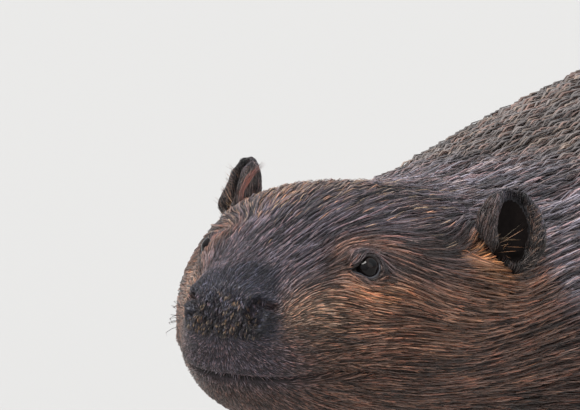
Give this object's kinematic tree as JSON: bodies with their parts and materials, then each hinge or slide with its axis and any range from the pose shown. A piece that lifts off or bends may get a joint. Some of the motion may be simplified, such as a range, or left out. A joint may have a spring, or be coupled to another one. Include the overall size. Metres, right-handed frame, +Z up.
{
  "type": "beaver model",
  "caption": "Life-size still model of a swimming beaver, wet coat, flat scaly tail and webbed hind feet, held level on a board by upright rods.",
  "frame": {"origin": "on the floor, under the middle of the whole model's box", "axes": "+Z up, nose towards -Y and tail towards +Y, the animal's left side towards +X"},
  "size_m": [0.374, 1.095, 0.4035],
  "materials": {
    "fur": "wet fur in fine clumped locks, dark grey-brown on top, red-brown on the cheek, paler on the back",
    "ear": "dark short-haired ear, near black inside",
    "nose": "wet charcoal nose pad, pebbled",
    "eye": "dark brown, wet and glossy",
    "foot": "dark wrinkled hide, webbed on the hind feet",
    "claw": "dark brown horn, worn smooth at the tip",
    "tail": "dark grey-brown overlapping scales",
    "wood": "stained and oiled board",
    "steel": "brushed rod and collar"
  },
  "bodies": {
    "root": {"nose": "nose", "lower_jaw": "fur", "head": "fur", "left_eye": "eye", "left_ear": "ear", "left_upper_arm": "fur", "left_forearm": "fur", "left_forepaw": "foot", "left_forepaw_claw_1": "claw", "left_forepaw_claw_2": "claw", "left_forepaw_claw_3": "claw", "left_forepaw_claw_4": "claw", "left_forepaw_claw_5": "claw", "left_thigh": "fur", "left_shank": "fur", "left_hind_foot": "foot", "left_hind_claw_1": "claw", "left_hind_claw_2": "claw", "left_hind_claw_3": "claw", "left_hind_claw_4": "claw", "left_hind_claw_5": "claw", "right_eye": "eye", "right_ear": "ear", "right_upper_arm": "fur", "right_forearm": "fur", "right_forepaw": "foot", "right_forepaw_claw_1": "claw", "right_forepaw_claw_2": "claw", "right_forepaw_claw_3": "claw", "right_forepaw_claw_4": "claw", "right_forepaw_claw_5": "claw", "right_thigh": "fur", "right_shank": "fur", "right_hind_foot": "foot", "right_hind_claw_1": "claw", "right_hind_claw_2": "claw", "right_hind_claw_3": "claw", "right_hind_claw_4": "claw", "right_hind_claw_5": "claw", "neck": "fur", "chest": "fur", "belly": "fur", "rump": "fur", "tail_root": "fur", "tail_blade": "tail", "stand_base": "wood", "stand_collar_front": "steel", "stand_rod_front": "steel", "stand_collar_back": "steel", "stand_rod_back": "steel"}
  },
  "joints": []
}
